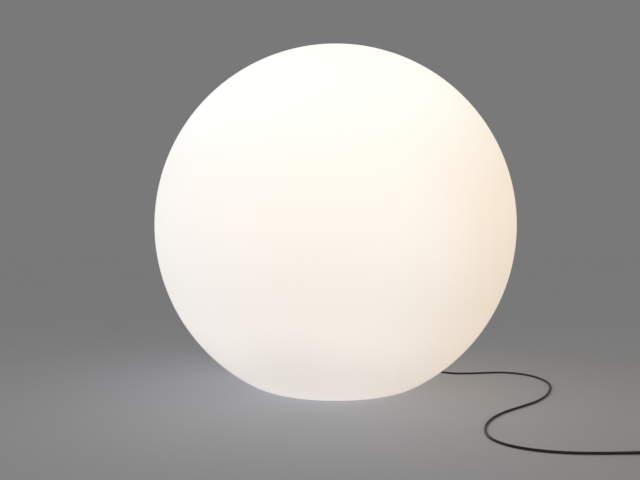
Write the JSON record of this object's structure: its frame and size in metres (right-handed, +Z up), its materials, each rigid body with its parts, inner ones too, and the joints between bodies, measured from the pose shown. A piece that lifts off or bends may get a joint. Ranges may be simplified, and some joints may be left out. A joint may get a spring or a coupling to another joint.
{
  "type": "garden globe light",
  "caption": "Large glowing white plastic garden globe on a flat base, lit by a screw-in lamp on a column inside, with a black rubber cord, a stored coil and a mains plug.",
  "frame": {"origin": "centre of the flat underside, on the ground", "axes": "+Z up along the lamp's axis, -Y the front, +X the viewer's right; the cord leaves at the back"},
  "size_m": [1.427, 1.5128, 1.1432],
  "materials": {
    "globe_plastic": "satin translucent polyethylene, lit from inside",
    "cover_plastic": "fine grained",
    "gasket_rubber": "dull",
    "cord_rubber": "slightly glossy",
    "gland_nylon": "satin",
    "stainless": "bright",
    "brass": "bright",
    "block_nylon": "satin",
    "wire_brown": "satin",
    "wire_blue": "satin",
    "wire_earth": "satin green and yellow",
    "column_white": "satin powder coat",
    "holder_plastic": "smooth thermosetting plastic",
    "porcelain": "unglazed",
    "cap_nickel": "nickel plated",
    "cap_insulator": "black vitrite",
    "lamp_housing": "smooth",
    "diffuser": "opal",
    "circuit_board": "solder resist",
    "chip_phosphor": "phosphor"
  },
  "bodies": {
    "globe": {"globe_shell": "globe_plastic", "thread_inserts": "brass", "base_cover": "cover_plastic", "cover_gasket": "gasket_rubber", "cover_screws": "stainless", "gland_washer": "gasket_rubber", "gland_body": "gland_nylon", "gland_seal": "gasket_rubber", "gland_nut": "gland_nylon", "gland_locknut": "gland_nylon", "gland_boot": "cord_rubber", "cord_tail": "cord_rubber", "terminal_block": "block_nylon", "terminal_sleeves": "brass", "terminal_screws": "stainless", "block_screws": "stainless", "column_foot": "column_white", "foot_screws": "stainless", "foot_set_screw": "stainless", "column_tube": "column_white", "wire_grommet": "gasket_rubber", "column_plug": "column_white", "nipple": "brass", "nipple_nuts": "brass", "earth_lug": "brass", "earth_screw": "stainless", "live_wires": "wire_brown", "neutral_wires": "wire_blue", "earth_wires": "wire_earth", "holder_dome": "holder_plastic", "holder_core": "porcelain", "holder_shell": "holder_plastic", "holder_terminals": "brass", "holder_screws": "stainless", "holder_rivets": "brass", "holder_contact": "brass", "holder_sleeve": "brass", "cord_tube": "cord_rubber", "cord_end": "cord_rubber", "cord_coil": "cord_rubber", "coil_tie": "gasket_rubber", "plug_boot": "cord_rubber", "plug_body": "cord_rubber", "plug_face": "gland_nylon", "plug_pins": "cap_nickel", "plug_earth_clips": "cap_nickel"},
    "seal": {"lamp_seal": "gasket_rubber"},
    "bulb": {"bulb_tip": "cap_nickel", "bulb_insulator": "cap_insulator", "bulb_cap": "cap_nickel", "bulb_housing": "lamp_housing", "bulb_board": "circuit_board", "bulb_chips": "chip_phosphor", "bulb_diffuser": "diffuser", "bulb_driver": "circuit_board", "driver_parts": "cap_insulator"}
  },
  "joints": [
    {"name": "bulb_lift", "type": "slide", "parent": "globe", "child": "seal", "axis": [0, 0, 1], "range_m": [0, 0.01815]},
    {"name": "bulb_turn", "type": "hinge", "parent": "seal", "child": "bulb", "pos_m": [0, 0, 0.44], "axis": [0, 0, 1], "range_deg": [0, 1800]}
  ],
  "couplings": [
    {"joint": "bulb_lift", "follows": "bulb_turn", "m_per_rad": 0.00057757}
  ]
}
